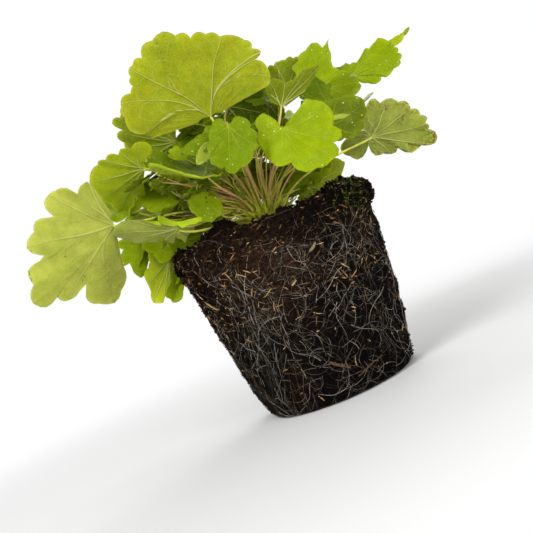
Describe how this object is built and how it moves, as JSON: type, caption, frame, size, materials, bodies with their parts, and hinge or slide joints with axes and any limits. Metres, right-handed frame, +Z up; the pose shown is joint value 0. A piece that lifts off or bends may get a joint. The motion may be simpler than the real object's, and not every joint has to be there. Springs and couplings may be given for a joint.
{
  "type": "heuchera plant with bare root ball",
  "caption": "Young lime-green heuchera lifted from its pot: lobed leaves on thin stalks rise from a short woody crown on a tapered ball of dark compost and fine pale roots.",
  "frame": {"origin": "middle of the root ball's flat foot, where it rests", "axes": "+Z up the plant from the foot to the leaves, +X toward the side with the long narrow leaf, -Y toward the side that the bright hanging leaves face"},
  "size_m": [0.2763, 0.211, 0.2241],
  "materials": {
    "leaf": "satin lime-green leaf blade, paler and matt underneath, with raised veins",
    "stalk": "hairy leaf stalk, pinkish brown to green",
    "crown": "rough, scaly crown with the bases of old stalks",
    "soil": "rough moist peat compost with bark chips, matted with fine whitish roots"
  },
  "bodies": {
    "root": {"root_ball": "soil", "crown": "crown", "leaf_01": "leaf", "stalk_01": "stalk", "leaf_02": "leaf", "stalk_02": "stalk", "leaf_03": "leaf", "stalk_03": "stalk", "leaf_04": "leaf", "stalk_04": "stalk", "leaf_05": "leaf", "stalk_05": "stalk", "leaf_06": "leaf", "stalk_06": "stalk", "leaf_07": "leaf", "stalk_07": "stalk", "leaf_08": "leaf", "stalk_08": "stalk", "leaf_09": "leaf", "stalk_09": "stalk", "leaf_10": "leaf", "stalk_10": "stalk", "leaf_11": "leaf", "stalk_11": "stalk", "leaf_12": "leaf", "stalk_12": "stalk", "leaf_13": "leaf", "stalk_13": "stalk", "leaf_14": "leaf", "stalk_14": "stalk", "leaf_15": "leaf", "stalk_15": "stalk", "leaf_16": "leaf", "stalk_16": "stalk", "leaf_17": "leaf", "stalk_17": "stalk", "leaf_18": "leaf", "stalk_18": "stalk", "leaf_19": "leaf", "stalk_19": "stalk", "leaf_20": "leaf", "stalk_20": "stalk", "leaf_21": "leaf", "stalk_21": "stalk", "leaf_22": "leaf", "stalk_22": "stalk", "leaf_23": "leaf", "stalk_23": "stalk", "leaf_24": "leaf", "stalk_24": "stalk", "leaf_25": "leaf", "stalk_25": "stalk", "leaf_26": "leaf", "stalk_26": "stalk", "leaf_27": "leaf", "stalk_27": "stalk", "leaf_28": "leaf", "stalk_28": "stalk", "leaf_29": "leaf", "stalk_29": "stalk"}
  },
  "joints": []
}
